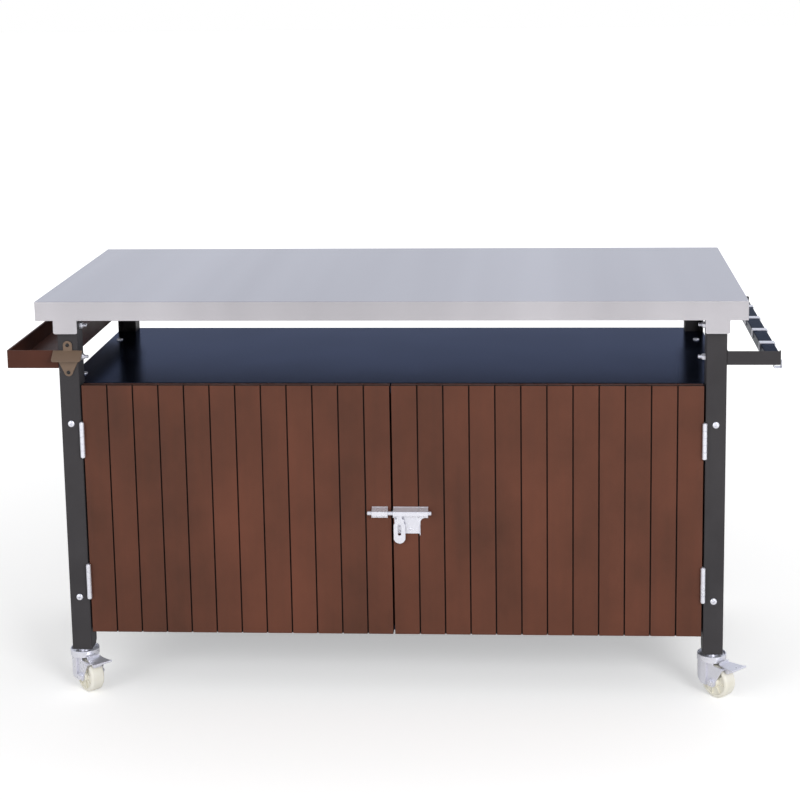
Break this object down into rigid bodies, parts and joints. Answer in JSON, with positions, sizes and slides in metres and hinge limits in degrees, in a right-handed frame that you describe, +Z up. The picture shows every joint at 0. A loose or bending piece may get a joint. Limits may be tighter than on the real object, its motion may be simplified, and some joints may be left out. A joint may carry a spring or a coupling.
{
  "type": "grill cart",
  "caption": "Rolling outdoor grill cart with a folded steel worktop, open serving bay, planked double doors with a slide bolt, side tray, hook rail, bottle opener and braked casters.",
  "frame": {"origin": "on the floor under the middle of the whole outline, 18.5 mm in front of the worktop's middle, because the front casters' pedals stand out", "axes": "+X towards the hook rail, along the worktop; +Y towards the back; +Z up; the doors face -Y"},
  "size_m": [1.6775, 0.6969, 0.89],
  "materials": {
    "stainless": "brushed",
    "charcoal_coat": "satin powder coat",
    "slate_coat": "satin powder coat",
    "brown_coat": "satin powder coat",
    "door_wood": "satin stained boards",
    "bronze_coat": "satin bronze",
    "zinc": "bright zinc plate",
    "dark_steel": "black oxide",
    "nylon": "cream nylon"
  },
  "bodies": {
    "cart": {"worktop": "stainless", "top_stiffeners": "stainless", "corner_brackets": "zinc", "front_left_leg": "charcoal_coat", "front_right_leg": "charcoal_coat", "rear_left_leg": "charcoal_coat", "rear_right_leg": "charcoal_coat", "foot_plates": "charcoal_coat", "caster_stems": "zinc", "middle_shelf": "slate_coat", "left_side_panel": "charcoal_coat", "right_side_panel": "charcoal_coat", "back_panel": "charcoal_coat", "cabinet_floor": "slate_coat", "door_stop": "slate_coat", "side_tray": "brown_coat", "front_rail_arm": "charcoal_coat", "rear_rail_arm": "charcoal_coat", "hook_rail": "charcoal_coat", "bottle_opener": "bronze_coat", "leg_bolts": "zinc", "leg_nuts": "zinc", "pan_head_screws": "zinc", "small_screws": "dark_steel", "leg_hinge_leaves": "zinc", "hinge_pins": "zinc"},
    "left_door": {"left_door_planks": "door_wood", "left_door_battens": "door_wood", "left_door_hinge_leaves": "zinc", "latch_keeper": "zinc", "keeper_screws": "zinc"},
    "right_door": {"right_door_planks": "door_wood", "right_door_battens": "door_wood", "right_door_hinge_leaves": "zinc", "latch_guide": "zinc", "latch_screws": "zinc"},
    "latch_bolt": {"latch_rod": "zinc"},
    "latch_lever": {"latch_handle": "zinc"},
    "hook_1_body": {"hook_1": "zinc"},
    "hook_2_body": {"hook_2": "zinc"},
    "hook_3_body": {"hook_3": "zinc"},
    "hook_4_body": {"hook_4": "zinc"},
    "front_left_caster": {"front_left_fork": "zinc", "front_left_axle": "zinc", "front_left_pedal_pin": "zinc"},
    "front_left_roller": {"front_left_wheel": "nylon"},
    "front_left_brake": {"front_left_pedal": "zinc"},
    "front_right_caster": {"front_right_fork": "zinc", "front_right_axle": "zinc", "front_right_pedal_pin": "zinc"},
    "front_right_roller": {"front_right_wheel": "nylon"},
    "front_right_brake": {"front_right_pedal": "zinc"},
    "rear_left_caster": {"rear_left_fork": "zinc", "rear_left_axle": "zinc"},
    "rear_left_roller": {"rear_left_wheel": "nylon"},
    "rear_right_caster": {"rear_right_fork": "zinc", "rear_right_axle": "zinc"},
    "rear_right_roller": {"rear_right_wheel": "nylon"}
  },
  "joints": [
    {"name": "left_door_hinge", "type": "hinge", "parent": "cart", "child": "left_door", "pos_m": [-0.67375, -0.3018, 0.42], "axis": [0, 0, -1], "range_deg": [0, 170]},
    {"name": "right_door_hinge", "type": "hinge", "parent": "cart", "child": "right_door", "pos_m": [0.67375, -0.3018, 0.42], "axis": [0, 0, 1], "range_deg": [0, 170]},
    {"name": "latch_slide", "type": "slide", "parent": "right_door", "child": "latch_bolt", "axis": [1, 0, 0], "range_m": [0, 0.0525]},
    {"name": "latch_lever_turn", "type": "hinge", "parent": "latch_bolt", "child": "latch_lever", "pos_m": [0.01605, -0.3051, 0.419], "axis": [-1, 0, 0], "range_deg": [0, 30]},
    {"name": "hook_1_slide", "type": "slide", "parent": "cart", "child": "hook_1_body", "axis": [0, 1, 0], "range_m": [-0.05, 0.05]},
    {"name": "hook_2_slide", "type": "slide", "parent": "cart", "child": "hook_2_body", "axis": [0, 1, 0], "range_m": [-0.05, 0.05]},
    {"name": "hook_3_slide", "type": "slide", "parent": "cart", "child": "hook_3_body", "axis": [0, 1, 0], "range_m": [-0.05, 0.05]},
    {"name": "hook_4_slide", "type": "slide", "parent": "cart", "child": "hook_4_body", "axis": [0, 1, 0], "range_m": [-0.05, 0.05]},
    {"name": "front_left_swivel", "type": "hinge", "parent": "cart", "child": "front_left_caster", "pos_m": [-0.6975, -0.2745, 0.09], "axis": [0, 0, 1], "continuous": true},
    {"name": "front_left_roll", "type": "hinge", "parent": "front_left_caster", "child": "front_left_roller", "pos_m": [-0.68386, -0.28913, 0.0375], "axis": [0.7314, 0.682, 0], "continuous": true},
    {"name": "front_left_pedal_tip", "type": "hinge", "parent": "front_left_caster", "child": "front_left_brake", "pos_m": [-0.66715, -0.30705, 0.072], "axis": [0.7314, 0.682, 0], "range_deg": [0, 15]},
    {"name": "front_right_swivel", "type": "hinge", "parent": "cart", "child": "front_right_caster", "pos_m": [0.6975, -0.2745, 0.09], "axis": [0, 0, 1], "continuous": true},
    {"name": "front_right_roll", "type": "hinge", "parent": "front_right_caster", "child": "front_right_roller", "pos_m": [0.71114, -0.28913, 0.0375], "axis": [0.7314, 0.682, 0], "continuous": true},
    {"name": "front_right_pedal_tip", "type": "hinge", "parent": "front_right_caster", "child": "front_right_brake", "pos_m": [0.72785, -0.30705, 0.072], "axis": [0.7314, 0.682, 0], "range_deg": [0, 15]},
    {"name": "rear_left_swivel", "type": "hinge", "parent": "cart", "child": "rear_left_caster", "pos_m": [-0.6975, 0.2705, 0.09], "axis": [0, 0, 1], "continuous": true},
    {"name": "rear_left_roll", "type": "hinge", "parent": "rear_left_caster", "child": "rear_left_roller", "pos_m": [-0.68386, 0.25587, 0.0375], "axis": [0.7314, 0.682, 0], "continuous": true},
    {"name": "rear_right_swivel", "type": "hinge", "parent": "cart", "child": "rear_right_caster", "pos_m": [0.6975, 0.2705, 0.09], "axis": [0, 0, 1], "continuous": true},
    {"name": "rear_right_roll", "type": "hinge", "parent": "rear_right_caster", "child": "rear_right_roller", "pos_m": [0.71114, 0.25587, 0.0375], "axis": [0.7314, 0.682, 0], "continuous": true}
  ]
}
